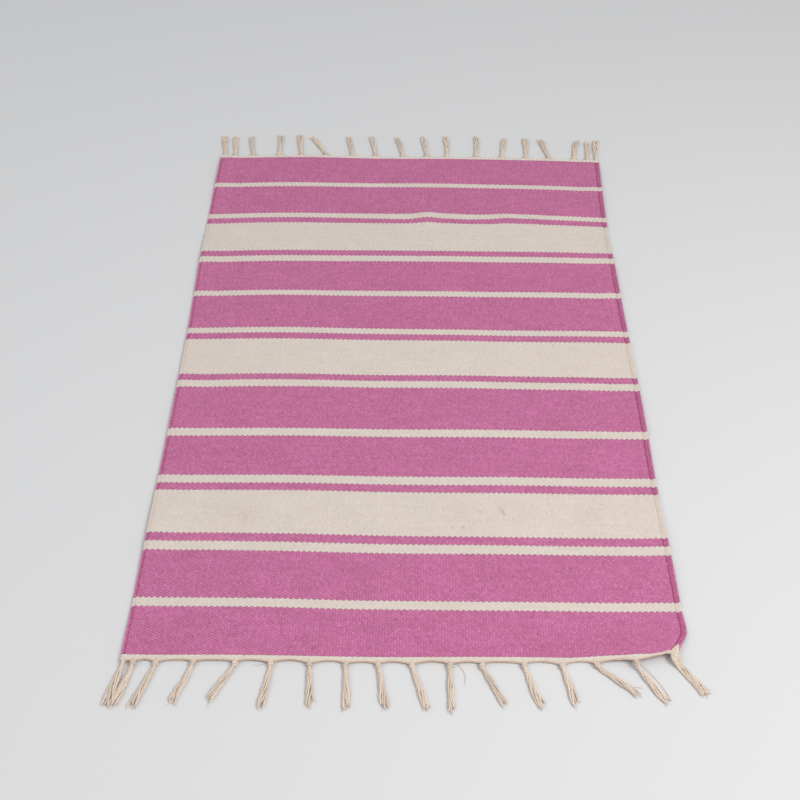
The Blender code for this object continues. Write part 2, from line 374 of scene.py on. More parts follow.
def weave_face(rows_at, zigzag, x, column, place, back):
    """One face of a stripe: flat x, y, height above the other face's floor, and weave tones.
    rows_at are the rows' places in picks from the far edge, and zigzag how far each row is
    moved, in picks, where the next yarn's beads reach in."""
    parity = (column + (1 if back else 0)) % 2
    shift = np.where(place < AT_A_COLUMN, 0, np.where(parity == 0, 1, -1))
    picks = rows_at[:, None] + zigzag[:, None] * shift[None]
    # the beads lean, except at the stripe's edges
    lean = BEAD_LEAN * (1 - np.clip(zigzag * 2, 0, 1))[:, None] * (place[None] - 0.5)
    phase = ((picks - 0.5 - parity[None]) / 2 + 0.5 + lean) % 1
    along = np.abs(np.sin(np.pi * phase)) ** 1.1
    over = np.where(place < AT_A_COLUMN, COLUMN_DIP, 1.0)
    shown = np.clip(np.round((picks - 0.5 - parity) / 2) * 2 + parity, 0, PICKS + 2).astype(int)
    size = bead_size[column[None], shown]
    height = over[None] * (0.28 + 0.72 * along) * size
    for side, columns_in, deep in GROOVES:
        groove = side * (HALF_WIDTH - columns_in * COLUMN)
        height = height - deep * hill(x, groove, GROOVE_WIDTH)[None]
    streak = (x + HALF_WIDTH) / (2 * HALF_WIDTH) * STREAKS
    low = np.minimum(streak.astype(int), STREAKS)
    part = streak - low
    tone = pick_tone[shown, low[None]] * (1 - part) + pick_tone[shown, low[None] + 1] * part
    tone = 0.55 * tone + 0.45 * bead_tone[column[None], shown]
    y = FAR_EDGE - picks * PICK
    loop = SELVEDGE_LOOP * (np.abs(x) > HALF_WIDTH - COLUMN / 2) * np.sign(x)
    wide = x[None] + loop[None] * np.abs(np.sin(np.pi * (picks / 2)))
    return wide, y, height, tone


STAINS_AND_SHADE = (  # faint stains on the cloth, and one broad, faint patch of painted shade by the ripples: x, y, radius and strength
    (0.1110, -0.2493, 0.0030, 1.00), (0.1125, -0.2545, 0.0016, 0.90),
    (0.1142, -0.2578, 0.0014, 0.90), (0.1096, -0.2560, 0.0014, 0.60),
    (0.0860, -0.2560, 0.0016, 0.50), (0.0650, -0.2770, 0.0022, 0.45),
    (-0.0375, -0.2262, 0.0020, 0.90), (0.0175, 0.2134, 0.0022, 0.80),
    (-0.1900, 0.4009, 0.0018, 0.80), (-0.1700, 0.4037, 0.0016, 0.70),
    # the first mark here, broad and faint, is painted shade by the ripples
    (0.0020, 0.3400, 0.0080, 0.25), (0.0600, -0.2500, 0.0180, 0.12),
    (-0.1900, -0.2680, 0.0150, 0.12), (0.2150, -0.2550, 0.0160, 0.12),
)  # fmt: skip


def stain_and_shade_at(x, y):
    return np.clip(sum(s * hill(np.hypot(x - a, y - b), 0, r) for a, b, r, s in STAINS_AND_SHADE), 0, 1)


def add_stripe(number, yarn, first_pick, picks):
    """A woven stripe, from its first pick, laid on the floor."""
    x, column, place = across()
    steps = np.arange(picks * PER_PICK + 1)
    rows_at = first_pick + steps / PER_PICK
    # the stripe's edge rows zigzag by half a pick, and its other rows run straight
    near_edge = np.minimum(steps, steps[::-1])
    zigzag = 0.5 * np.clip(1 - near_edge / PER_PICK, 0, 1)
    if first_pick == 0:
        zigzag[0] *= HEM_TEETH
    if first_pick + picks == PICKS:
        zigzag[-1] *= HEM_TEETH
    rise = selvedge_rise(x)
    faces = []
    for back in (False, True):
        wide, y, height, tone = weave_face(rows_at, zigzag, x, column, place, back)
        depth = BEAD_RELIEF * (1 - height)
        half = (THICKNESS / 2 - depth) * rise[None]
        z = THICKNESS / 2 + (-half if back else half)
        flat = np.stack((wide, y, np.broadcast_to(z, y.shape)), axis=-1)
        # the second channel marks where shade is painted: the hollows between beads and the
        # selvedge grooves; the third marks the stains and one patch of painted shade
        weave = np.stack((tone, np.clip(1 - height, 0, 1.5), stain_and_shade_at(wide, y)), axis=-1)
        faces.append((flat, weave))
    (top, weave_top), (bottom, weave_bottom) = faces
    # both faces share the stations along the selvedges
    for edge in (0, -1):
        bottom[:, edge] = top[:, edge]
        weave_bottom[:, edge] = weave_top[:, edge]
    name = f"{yarn}_stripe_{number:02d}"
    return add_sleeve(name, laid(top), laid(bottom), top, bottom, weave_top, weave_bottom)


# ---- materials ----
def yarn_material(
    name, colour, deep, hollow_shade_share, fleck, fleck_from, speck, speck_from, grain, contrast
):
    """Spun cotton: fibres along the yarn, tone from bead to bead, painted shade in the hollows, and
    flecks.
    """
    mat = bpy.data.materials.new(name)
    mat.use_nodes = True
    tree = mat.node_tree
    nodes, link = tree.nodes, tree.links.new
    shader = nodes["Principled BSDF"]
    shader.inputs["Sheen Weight"].default_value = 0.12
    shader.inputs["Sheen Roughness"].default_value = 0.55
    shader.inputs["Specular IOR Level"].default_value = 0.25

    flat = nodes.new("ShaderNodeAttribute")
    flat.attribute_name = "flat"
    weave = nodes.new("ShaderNodeAttribute")
    weave.attribute_name = "weave"
    split = nodes.new("ShaderNodeSeparateXYZ")
    link(weave.outputs["Vector"], split.inputs[0])

    def noise(scale, stretch=(1, 1, 1), detail=2.0):
        mapping = nodes.new("ShaderNodeMapping")
        mapping.inputs["Scale"].default_value = tuple(scale * s for s in stretch)
        link(flat.outputs["Vector"], mapping.inputs["Vector"])
        made = nodes.new("ShaderNodeTexNoise")
        made.inputs["Scale"].default_value = 1
        made.inputs["Detail"].default_value = detail
        link(mapping.outputs[0], made.inputs["Vector"])
        return made.outputs["Fac"]

    def remap(value, low, high, to_low, to_high):
        made = nodes.new("ShaderNodeMapRange")
        keys = ("From Min", "From Max", "To Min", "To Max")
        for key, number in zip(keys, (low, high, to_low, to_high)):
            made.inputs[key].default_value = number
        link(value, made.inputs["Value"])
        return made.outputs[0]

    def times(a, b):
        made = nodes.new("ShaderNodeMath")
        made.operation = "MULTIPLY"
        link(a, made.inputs[0])
        link(b, made.inputs[1])
        return made.outputs[0]

    def blend(factor, a, b):
        made = nodes.new("ShaderNodeMix")
        made.data_type = "RGBA"
        link(factor, made.inputs["Factor"])
        for socket, value in ((made.inputs[6], a), (made.inputs[7], b)):
            if isinstance(value, tuple):
                socket.default_value = (*value, 1)
            else:
                link(value, socket)
        return made.outputs[2]

    fibre = noise(900, grain)
    c = contrast
    tone = times(
        times(remap(split.outputs["X"], 0, 1, 1 - 0.13 * c, 1 + 0.13 * c),
              remap(fibre, 0.3, 0.7, 1 - 0.12 * c, 1 + 0.12 * c)),
        times(remap(noise(22), 0.3, 0.7, 1 - 0.035 * c, 1 + 0.035 * c),
              remap(noise(1500, detail=1.0), 0.3, 0.7, 1 - 0.10 * c, 1 + 0.10 * c)),
    )  # fmt: skip
    scaled = nodes.new("ShaderNodeVectorMath")
    scaled.operation = "SCALE"
    scaled.inputs[0].default_value = colour
    link(tone, scaled.inputs["Scale"])
    out = scaled.outputs[0]
    # painted shade: the hollows, marked by the weave's second channel, are drawn towards the darker
    # deep colour
    out = blend(remap(split.outputs["Y"], 0.05, 1, 0, hollow_shade_share), out, deep)
    flecks = remap(noise(520, detail=1.0), fleck_from, fleck_from + 0.08, 0, 0.28)
    out = blend(flecks, out, fleck)
    specks = remap(noise(230, detail=1.0), speck_from, speck_from + 0.02, 0, 0.6)
    out = blend(specks, out, speck)
    # the stains, and one patch of painted shade by the ripples, in brown, from the weave's third
    # channel
    stain_and_shade = times(split.outputs["Z"], remap(noise(160), 0.35, 0.6, 0.25, 1.0))
    out = blend(stain_and_shade, out, STAIN_AND_SHADE)
    link(out, shader.inputs["Base Color"])
    link(remap(fibre, 0.3, 0.7, 0.96, 0.84), shader.inputs["Roughness"])
    bump = nodes.new("ShaderNodeBump")
    bump.inputs["Strength"].default_value = 0.35
    bump.inputs["Distance"].default_value = 0.0002
    link(fibre, bump.inputs["Height"])
    link(bump.outputs[0], shader.inputs["Normal"])
    return mat


# How the fibres' noise is stretched: they lie along the yarn.
ALONG_WEFT = (0.30, 2.2, 1.0)
ALONG_HEM = (0.35, 2.2, 1.0)
ALONG_TASSEL = (2.2, 0.35, 1.0)
# Each deep colour is the painted shade of the hollows between beads, plies and cords; the share
# after it is how far the deepest hollows go towards it.
materials = {
    "pink": yarn_material(
        "pink cotton weft", PINK, deep=(0.30, 0.055, 0.145), hollow_shade_share=0.95,
        fleck=(0.80, 0.55, 0.68), fleck_from=0.65, speck=(0.24, 0.09, 0.15), speck_from=0.73,
        grain=ALONG_WEFT, contrast=1.0,
    ),
    "cream": yarn_material(
        "cream cotton weft", CREAM, deep=(0.50, 0.38, 0.30), hollow_shade_share=0.50,
        fleck=(0.80, 0.76, 0.70), fleck_from=0.68, speck=(0.42, 0.24, 0.12), speck_from=0.765,
        grain=ALONG_WEFT, contrast=0.42,
    ),
    "warp": yarn_material(
        "cotton warp", WARP, deep=(0.50, 0.33, 0.21), hollow_shade_share=0.42,
        fleck=(0.84, 0.77, 0.68), fleck_from=0.70, speck=(0.44, 0.30, 0.18), speck_from=0.78,
        grain=ALONG_TASSEL, contrast=0.9,
    ),
    "hem": yarn_material(
        "cotton warp in the hem", HEM, deep=(0.58, 0.36, 0.22), hollow_shade_share=0.80,
        fleck=(0.80, 0.76, 0.70), fleck_from=0.70, speck=(0.44, 0.30, 0.18), speck_from=0.78,
        grain=ALONG_HEM, contrast=0.8,
    ),
}  # fmt: skip


# ---- stripes ----
def panel_of(number):
    if number < FAR_FOLD_BAND:
        return "far_end"
    if number < MIDDLE_BAND:
        return "far_middle"
    return "near_middle" if number <= NEAR_FOLD_BAND else "near_end"


joints = {j["name"]: j for j in frame["joints"]}
# How far the bend of a fold reaches into the panel that stays and into the one that turns,
# in radii of the bend. The first is the shorter at the middle, so that the cloth beside the
# thick middle fold doesn't dip below the floor.
FOLD_REACH = {
    "fold_middle": (1.0, 1.6),
    "fold_near_end": (1.4, 1.7),
    "fold_far_end": (1.4, 1.7),
}


def fold_span(name):
    """Where along the mat the bend of that fold starts, in the panel that stays, and ends."""
    joint = joints[name]
    _, y, z = joint["pos_m"]
    outward = 1 if joint["child"].startswith("far") else -1
    staying, turned = (reach * (z - THICKNESS / 2) * outward for reach in FOLD_REACH[name])
    return y - staying, y + turned


def fold_across(ob):
    """The fold whose bend reaches into ob, if there is one."""
    at = np.empty(3 * len(ob.data.vertices), np.float32)
    ob.data.vertices.foreach_get("co", at)
    low, high = at[1::3].min(), at[1::3].max()
    for name in FOLD_REACH:
        span = fold_span(name)
        if low < max(span) and high > min(span):
            return name
    return None


def bend(ob):
    """ob is left where it lies, with its placement baked into its mesh."""
    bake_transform(ob)


first = 0
for number, (yarn, picks) in enumerate(DRAFT, 1):
    ob = add_stripe(number, yarn, first, picks)
    first += picks
    ob.data.materials.append(materials[yarn])
    node = f"{yarn}_band_{number:02d}"
    stood = [f"{node}_far_half", f"{node}_near_half"] if number == MIDDLE_BAND else [node]
    if number in INNER_WARPS:
        stood.append(INNER_WARPS[number])
    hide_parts(*stood)
    fold = fold_across(ob)
    if fold:
        bend(ob)
    else:
        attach(ob, panel_of(number))


# ---- hems ----
# Each tassel's bundles: where on the hem each lies, in x, and how it leans, in degrees.
NEAR_TASSELS = (
    ((-0.3000, -12), (-0.2880, -14), (-0.2640, -19)),
    ((-0.2240, -19),), ((-0.1790, -29),), ((-0.1410, -7),), ((-0.1000, 4),),
    ((-0.0610, 3),), ((-0.0265, 12),), ((0.0095, 18),), ((0.0500, 1),),
    ((0.0840, 27),), ((0.1290, 19),), ((0.1695, 15),), ((0.2060, 50),),
    ((0.2480, 34), (0.2905, 34)),
)  # fmt: skip
FAR_TASSELS = (
    ((-0.2935, -8), (-0.2775, -6), (-0.2490, -12)),
    ((-0.2080, -1),), ((-0.1730, -7),), ((-0.1335, -27),), ((-0.0920, -9),),
    ((-0.0550, -7),), ((-0.0115, -12),), ((0.0265, -7),), ((0.0585, -1),),
    ((0.1045, 3),), ((0.1455, 6),), ((0.1835, 3),), ((0.2200, -12),),
    ((0.2595, 9), (0.2800, 7), (0.2940, 5)),
)  # fmt: skip
HEM_ROWS = 25  # mesh rows across the hem
HEM_CORDS = 5  # warp ends that lie side by side in it
HEM_THICKNESS = 0.0030
HEM_LIFT = 0.0003  # of the hem over the floor
HEM_DIP = 0.0020  # how far the hem is drawn out at a knot
HEM_TWIST = 0.0026  # from one turn of its cords' twist to the next
DRAWN_WIDTH = 0.0080  # of the hem that a knot draws out, to each side


def flat_tassels(tassels, edge_y):
    """The same bundles with each x on the flat mat."""
    return [[(unlaid(x, edge_y), lean) for x, lean in bundles] for bundles in tassels]


def add_hem(name, field_edge, outer_edge, tassels):
    """The flat hem: warp ends turned along the edge, drawn together at each knot."""
    roots = np.sort([x for cluster in tassels for x, _ in cluster])
    x, _, _ = across()
    spans = np.diff(np.concatenate(([roots[0] - 0.03], roots, [roots[-1] + 0.03])))
    nearest = np.abs(x[None] - roots[:, None])
    who = nearest.argmin(0)
    off = nearest.min(0)
    reach = np.maximum(spans[who], spans[who + 1]) / 2
    away = np.clip(off / reach, 0, 1)  # 0 at a knot, 1 half way to the next
    drawn = np.exp(-((off / DRAWN_WIDTH) ** 2))
    out = 1 if outer_edge > field_edge else -1
    width = abs(outer_edge - field_edge)
    across_hem = np.linspace(0, 1, HEM_ROWS)[:, None]
    sag = HEM_DIP * drawn + 0.0005 * np.sin(2 * np.pi * x / 0.051 + 1.0) - 0.0007 * away
    at = (x + HALF_WIDTH) / COLUMN
    teeth = np.where(np.floor(at + 1e-6) % 2 == 0, 1, -1) * PICK / 2 * HEM_TEETH
    teeth = np.where(at % 1 < AT_A_COLUMN, 0, teeth)
    rise = selvedge_rise(x)
    faces = []
    for back in (False, True):
        # the first row interlocks with the last stripe's beads
        flip = (-1 if back else 1) * (-1 if out > 0 else -1)
        fade = np.clip(1 - across_hem * (HEM_ROWS - 1) / 2, 0, 1)
        y = field_edge + out * (width * across_hem + sag[None] * across_hem)
        y = y + flip * teeth[None] * fade
        # the cords swing out to meet at each knot
        swung = 1 - (1 - across_hem) ** (1 / (1 + 1.6 * drawn[None]))
        lines = swung * (HEM_CORDS - 1.5 * away[None]) + 0.55 * away[None]
        cord = np.abs(np.sin(np.pi * lines)) ** 0.6
        twist = 0.12 * np.sin(2 * np.pi * (x[None] / HEM_TWIST + across_hem * 2.2))
        round_edge = np.sqrt(np.clip(1 - np.clip((across_hem - 0.80) / 0.20, 0, 1) ** 2, 0, 1))
        shape = np.clip(0.50 + 0.50 * cord + twist * cord, 0, 1)
        outer_cord = smooth((across_hem - 0.72) / 0.12)
        z_half = HEM_THICKNESS / 2 * shape * (0.10 + 0.90 * round_edge)
        near_field = smooth(across_hem / 0.18)
        z_half = z_half * near_field + (THICKNESS / 2 - BEAD_RELIEF) * (1 - near_field)
        z_half = z_half * rise[None]
        z = HEM_THICKNESS / 2 + HEM_LIFT + (-z_half if back else z_half)
        z = np.maximum(z, 0.0001)
        wide = np.broadcast_to(x[None], y.shape)
        flat = np.stack((wide, y, z), axis=-1)
        tone = 0.5 + 0.35 * np.sin(7 * lines + 3 * x[None] / 0.02)
        # painted shade in the hollows between the cords, and a darker, tanner outer cord
        deep = np.clip(1.05 - 1.05 * shape + 0.60 * outer_cord, 0, 1)
        weave = np.stack((np.clip(tone, 0, 1), deep, 0 * y), axis=-1)
        faces.append((flat, weave))
    (top, weave_top), (bottom, weave_bottom) = faces
    for edge in (0, -1):
        bottom[:, edge] = top[:, edge]
        weave_bottom[:, edge] = weave_top[:, edge]
    if out > 0:  # rows run from far to near, as the stripes' do
        top, bottom = top[::-1], bottom[::-1]
        weave_top, weave_bottom = weave_top[::-1], weave_bottom[::-1]
    return add_sleeve(name, laid(top), laid(bottom), top, bottom, weave_top, weave_bottom)


for side, field_edge, outer_edge, tassels in (
    ("near", NEAR_EDGE, NEAR_HEM_Y, NEAR_TASSELS),
    ("far", FAR_EDGE, FAR_HEM_Y, FAR_TASSELS),
):
    ob = add_hem(f"{side}_hem", field_edge, outer_edge, flat_tassels(tassels, outer_edge))
    ob.data.materials.append(materials["hem"])
    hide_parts(f"warp_{side}_end")
    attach(ob, f"{side}_end")


# ---- tassels ----
TASSEL_LENGTH = 0.0560
STRAND_RADIUS = 0.00102
STRAND_SIDES = 8
STRAND_STEP = 0.0008  # between two rings of a strand
TIP_TAPER = (0.97, 0.9, 0.78, 0.6, 0.35)  # of a strand's last rings
PLY_PITCH = 0.0042  # length in which the plies make one turn
PLY_TURN = 2 * np.pi / PLY_PITCH / 2
PLY_LOBES = 0.13  # how far a yarn's two plies stand out, as a share of its radius
KNOT_RADIUS = 0.00105
# Shares of a tassel's length, the bundle's half width and its half height, in millimetres.
BUNDLE = (
    (-0.045, 3.8, 1.0), (0.0, 2.6, 1.3), (0.045, 1.8, 1.7), (0.11, 1.7, 1.6), (0.17, 2.2, 1.6),
    (0.40, 3.2, 1.8), (0.75, 3.9, 1.8), (1.0, 4.6, 1.6), (1.1, 5.0, 1.5),
)  # fmt: skip
TURNED_OVER = (0.2962, -0.4412)  # where the near right corner's yarn comes over the cloth
KNOT_FROM, KNOT_TO = 0.035, 0.125  # shares of a tassel's length
KNOT_TURNS = 2.2
FRAY_RADIUS = 0.00016
FRAY_PER_STRAND = 4
FRAY_AT_TIP = 0.75  # share of the loose fibres that are at the strand's tip
OUTERMOST_IN = 0.0035  # least distance of a bundle's middle from the selvedge
THREAD_RADIUS = 0.00036
THREAD_PLY_PITCH = 0.002
# Shares of the map's width that a loose fibre, a thread and a knot have, to a strand's 1.
FRAY_WEIGHT, THREAD_WEIGHT, KNOT_WEIGHT = 0.28, 0.6, 1.2


def tube(path, radius, sides, lobes=0.0, turn=0.0, tone=0.5, taper=None):
    """A closed tube along path: its points, its faces, and what the material reads."""
    tangent = np.gradient(path, axis=0)
    tangent /= np.linalg.norm(tangent, axis=1)[:, None] + 1e-12
    up = np.array((0.0, 0.0, 1.0))
    side = np.cross(tangent, up)
    length = np.linalg.norm(side, axis=1)
    side[length < 1e-3] = (1.0, 0.0, 0.0)
    side /= np.linalg.norm(side, axis=1)[:, None]
    top = np.cross(side, tangent)
    angle = np.linspace(0, 2 * np.pi, sides, endpoint=False)
    along = np.concatenate(([0], np.cumsum(np.linalg.norm(np.diff(path, axis=0), axis=1))))
    phase = angle[None] - turn * along[:, None]
    ply = np.cos(2 * phase)
    r = radius * (1 + lobes * ply)
    if taper is not None:
        r = r * taper[:, None]
    ring = (
        path[:, None]
        + side[:, None] * (np.cos(angle)[None] * r)[..., None]
        + top[:, None] * (np.sin(angle)[None] * r)[..., None]
    )
    count = len(path)
    verts = np.concatenate((ring.reshape(-1, 3), path[:1], path[-1:]))
    index = np.arange(count * sides).reshape(count, sides)
    nxt = np.roll(index, -1, axis=1)
    quads = np.stack((index[:-1], nxt[:-1], nxt[1:], index[1:]), -1).reshape(-1, 4)
    first_point, last_point = count * sides, count * sides + 1
    tris = np.concatenate((
        np.stack((np.full(sides, first_point), nxt[0], index[0]), -1),
        np.stack((np.full(sides, last_point), index[-1], nxt[-1]), -1),
    ))  # fmt: skip
    tones = np.full(r.shape, tone)
    round_it = np.broadcast_to(phase, r.shape) * radius * 1.5
    flat = np.stack((round_it, np.broadcast_to(along[:, None], r.shape), tones), axis=-1)
    flat = flat.reshape(-1, 3)
    flat = np.concatenate((flat, flat[:1], flat[-1:]))
    # painted shade in the hollows between the two plies; loose fibres are drawn a little towards it
    # all over
    deep = 0.45 - 0.45 * ply if lobes else 0 * ply + 0.2
    weave = np.stack((tones, deep, 0 * r), -1).reshape(-1, 3)
    weave = np.concatenate((weave, weave[:1], weave[-1:]))
    u = np.arange(sides) / sides
    v = np.arange(count - 1) / (count + 1) + 0.02
    dv, du = 1 / (count + 1), 1 / sides
    grid = (count - 1, sides)
    uu, vv = np.broadcast_to(u[None], grid), np.broadcast_to(v[:, None], grid)
    corners = ((uu, vv), (uu + du, vv), (uu + du, vv + dv), (uu, vv + dv))
    uv = np.stack([np.stack(p, -1) for p in corners], 2)
    tri_uv = []
    for base in (0.0, 0.985):
        b = np.full(sides, base)
        corners = ((u + du / 2, b + 0.012), (u + du, b), (u, b))
        tri_uv.append(np.stack([np.stack(p, -1) for p in corners], 1))
    return verts, quads, tris, flat, weave, uv.reshape(-1, 2), np.concatenate(tri_uv).reshape(-1, 2)


def add_tubes(name, tubes, weights):
    """One object from several tubes, each with a strip of the map as wide as its weight."""
    edges = np.concatenate(([0], np.cumsum(weights))) / sum(weights)
    verts, quads, tris, flats, weaves, uvs, tri_uvs, base = [], [], [], [], [], [], [], 0
    for part, low, high in zip(tubes, edges[:-1], edges[1:]):
        v, q, t, f, w, uv, tri_uv = part
        squeeze = np.array(((high - low) * 0.93, 1.0))
        shift = np.array((low, 0.0))
        verts.append(v), flats.append(f), weaves.append(w)
        quads.append(q + base), tris.append(t + base)
        uvs.append(uv * squeeze + shift), tri_uvs.append(tri_uv * squeeze + shift)
        base += len(v)
    return new_mesh(
        name, np.concatenate(verts), [np.concatenate(quads), np.concatenate(tris)], [False, False],
        np.concatenate(flats), np.concatenate(weaves), np.concatenate(uvs + tri_uvs),
    )  # fmt: skip


def bundle_route(x, y, out, lean, length, draw):
    """The centre line of a bundle that leaves the hem at x, y: shares, points and normals."""
    share = np.arange(-0.045, 1.09, STRAND_STEP / length)
    bend_at = smooth((share - 0.02) / 0.14)
    swing = draw.uniform(-5, 5)
    wander = swing * np.sin(2 * np.pi * (share * draw.uniform(0.7, 1.2) + draw.random()))
    heading = np.radians(lean * bend_at + wander * smooth((share - 0.15) / 0.3))
    step = STRAND_STEP
    dx, dy = np.sin(heading) * step, out * np.cos(heading) * step
    start = np.argmin(np.abs(share))
    px, py = np.cumsum(dx), np.cumsum(dy)
    px, py = px - px[start] + x, py - py[start] + y
    side = np.stack((np.cos(heading), -out * np.sin(heading), 0 * heading), -1)
    return share, np.stack((px, py, 0 * px), -1), side


def add_bundle(tubes, weights, x, y, out, lean, draw, strands, tied, over):
    """Yarn ends that leave the hem together, go through a knot and spread to the tip. With
    over, the flat x, y of a point on the cloth, they come from there across the hem."""
    length = TASSEL_LENGTH * draw.uniform(0.94, 1.02)
    share, centre, side = bundle_route(x, y, out, lean, length, draw)
    dx, dy, dz = lay(np.array([x]), np.array([y]))
    shares = [b[0] for b in BUNDLE]
    wide = np.interp(share, shares, [b[1] for b in BUNDLE]) / 1000
    tall = np.interp(share, shares, [b[2] for b in BUNDLE]) / 1000
    if not tied:
        wide, tall = wide * 1.15, tall * 0.9
    carried = 1 - smooth(share / 0.30)
    centre[:, 0] += dx
    centre[:, 1] += dy
    rest = tall + STRAND_RADIUS * 0.6
    hem_z = HEM_THICKNESS / 2 + 0.0004 + dz
    knotted = hill(share, (KNOT_FROM + KNOT_TO) / 2, 0.06)
    centre[:, 2] = rest * (1 - carried) + hem_z * carried + 0.0007 * knotted
    if tied:
        centre[:, 2] = np.maximum(centre[:, 2], 0.0030 * knotted)
    if over is not None:
        share, centre, side, wide, tall = turned_over(over, x, y, share, centre, side, wide, tall)
    twist = draw.choice((-1, 1)) * draw.uniform(0.9, 1.5) * np.pi
    for k in range(strands):
        core = k == strands - 1 and strands > 4
        phi = 2 * np.pi * k / max(strands - 1, 1) + twist * share + draw.uniform(-0.2, 0.2)
        out_by = 0.25 if core else 1.0
        stray = draw.uniform(-1, 1) * 0.0011 * smooth((share - 0.45) / 0.5)
        wave = 0.00025 * np.sin(2 * np.pi * share * draw.uniform(2, 4) + draw.uniform(0, 6))
        reach = (wide - STRAND_RADIUS) * out_by
        lift = (tall - STRAND_RADIUS * 0.6) * out_by
        path = centre + side * (np.cos(phi) * reach + stray + wave)[:, None]
        path[:, 2] += np.sin(phi) * lift
        radius = STRAND_RADIUS * draw.uniform(0.88, 1.1)
        path[:, 2] = np.maximum(path[:, 2], radius * (1 + PLY_LOBES))
        stop = np.searchsorted(share, draw.uniform(0.90, 1.06))
        path = path[:stop]
        taper = np.ones(len(path))
        taper[-len(TIP_TAPER) :] = TIP_TAPER
        tubes.append(tube(path, radius, STRAND_SIDES, PLY_LOBES, PLY_TURN, draw.random(), taper))
        weights.append(1.0)
        add_fray(tubes, weights, path, draw)
    if tied:
        add_knot(tubes, weights, share, centre, side, wide, tall, draw)


def turned_over(over, x, y, share, centre, side, wide, tall):
    """The bundle's route with a lead that lies on the cloth, from over to the hem's edge."""
    keep = share > 0.03
    steps = 20
    t = np.linspace(0, 1, steps)
    flat = np.stack((over[0] + (x - over[0]) * t, over[1] + (y - over[1]) * t), -1)
    dx, dy, dz = lay(flat[:, 0], flat[:, 1])
    edge = hill(t, 1.0, 0.35)
    on_top = THICKNESS - (THICKNESS - HEM_THICKNESS) * edge + STRAND_RADIUS * 0.7
    lead = np.stack((flat[:, 0] + dx, flat[:, 1] + dy, on_top + dz), -1)
    along = lead[-1, :2] - lead[0, :2]
    along /= np.linalg.norm(along)
    sideways = np.array((-along[1], along[0], 0.0))
    sideways *= 1 if sideways @ side[keep][0] > 0 else -1
    span = float(np.linalg.norm(lead[-1] - lead[0])) / TASSEL_LENGTH
    lead_share = -span * (1 - t)
    tail = centre[keep].copy()
    drop = smooth((share[keep] - 0.03) / 0.30)
    tail[:, 2] = lead[-1, 2] * (1 - drop) + tall[keep] * drop
    shift = lead[-1, :2] + along * 0.0018 - tail[0, :2]
    tail[:, :2] += shift * (1 - smooth(share[keep] / 0.6))[:, None]
    lead_wide = np.interp(t, (0, 0.40, 1), (1.1, 2.9, 4.6)) / 1000
    lead_tall = np.full(steps, 0.00075)
    wide = np.concatenate((lead_wide, np.maximum(wide[keep], 0.0046)))
    tall = np.concatenate((lead_tall, lead_tall[-1] * (1 - drop) + tall[keep] * drop))
    side = np.concatenate((np.repeat(sideways[None], steps, 0), side[keep]))
    return np.concatenate((lead_share, share[keep])), np.concatenate((lead, tail)), side, wide, tall


def add_fray(tubes, weights, path, draw):
    """Loose fibres at a strand's tip, and a few along it."""
    for _ in range(FRAY_PER_STRAND):
        if draw.random() < FRAY_AT_TIP:
            at = len(path) - 1 - int(draw.integers(0, 6))
        else:
            at = int(draw.integers(20, len(path) - 4))
        origin = path[at]
        forward = path[at] - path[at - 1]
        forward /= np.linalg.norm(forward)
        spin = draw.uniform(-0.9, 0.9)
        c, s = math.cos(spin), math.sin(spin)
        d = np.array((forward[0] * c - forward[1] * s, forward[0] * s + forward[1] * c, 0))
        span = draw.uniform(0.0018, 0.0050)
        t = np.linspace(0, 1, 7)[:, None]
        curl = np.array((-d[1], d[0], 0)) * draw.uniform(-0.5, 0.5)
        route = origin + d * span * t + curl * span * t**2
        height = origin[2] * (1 - t[:, 0]) + draw.uniform(0.0002, 0.0016) * t[:, 0]
        route[:, 2] = np.maximum(height, FRAY_RADIUS * 1.1)
        tubes.append(tube(route, FRAY_RADIUS * draw.uniform(0.6, 1.1), 4, 0, 0, draw.random()))
        weights.append(FRAY_WEIGHT)


def add_knot(tubes, weights, share, centre, side, wide, tall, draw):
    """The overhand knot: yarn wound aslant round the bundle."""
    t = np.linspace(0, 1, 64)
    at = KNOT_FROM + (KNOT_TO - KNOT_FROM) * (t + 0.14 * np.sin(2 * np.pi * KNOT_TURNS * t + 0.6))
    mid = np.stack([np.interp(at, share, centre[:, i]) for i in range(3)], -1)
    across_it = np.stack([np.interp(at, share, side[:, i]) for i in range(3)], -1)
    around = 2 * np.pi * KNOT_TURNS * t + draw.uniform(0, 2 * np.pi)
    swell = 0.00030 * np.sin(np.pi * t)
    reach = np.interp(at, share, wide) + 0.00035 + swell
    lift = np.interp(at, share, tall) + 0.00025 + swell
    path = mid + across_it * (np.cos(around) * reach)[:, None]
    path[:, 2] += np.sin(around) * lift
    path[:, 2] = np.maximum(path[:, 2], KNOT_RADIUS * (1 + PLY_LOBES))
    taper = np.interp(t, (0, 0.06, 0.94, 1), (0.4, 1, 1, 0.4))
    tubes.append(tube(path, KNOT_RADIUS, STRAND_SIDES, PLY_LOBES, PLY_TURN, draw.random(), taper))
    weights.append(KNOT_WEIGHT)


def add_thread(tubes, weights, points, draw):
    """A single loose thread along the floor, smooth through points of x, y and z."""
    p = np.array(points, float)
    t = np.linspace(0, len(p) - 1, 60)
    i = np.clip(t.astype(int), 0, len(p) - 2)
    f = (t - i)[:, None]
    before, after = p[np.maximum(i - 1, 0)], p[np.minimum(i + 2, len(p) - 1)]
    a, b = p[i], p[i + 1]
    path = 0.5 * (2 * a + (b - before) * f + (2 * before - 5 * a + 4 * b - after) * f**2
                  + (3 * a - before - 3 * b + after) * f**3)  # fmt: skip
    path[:, 2] = np.maximum(path[:, 2], 0.0004)
    tubes.append(tube(path, THREAD_RADIUS, 6, 0.1, 2 * np.pi / THREAD_PLY_PITCH, draw.random()))
    weights.append(THREAD_WEIGHT)


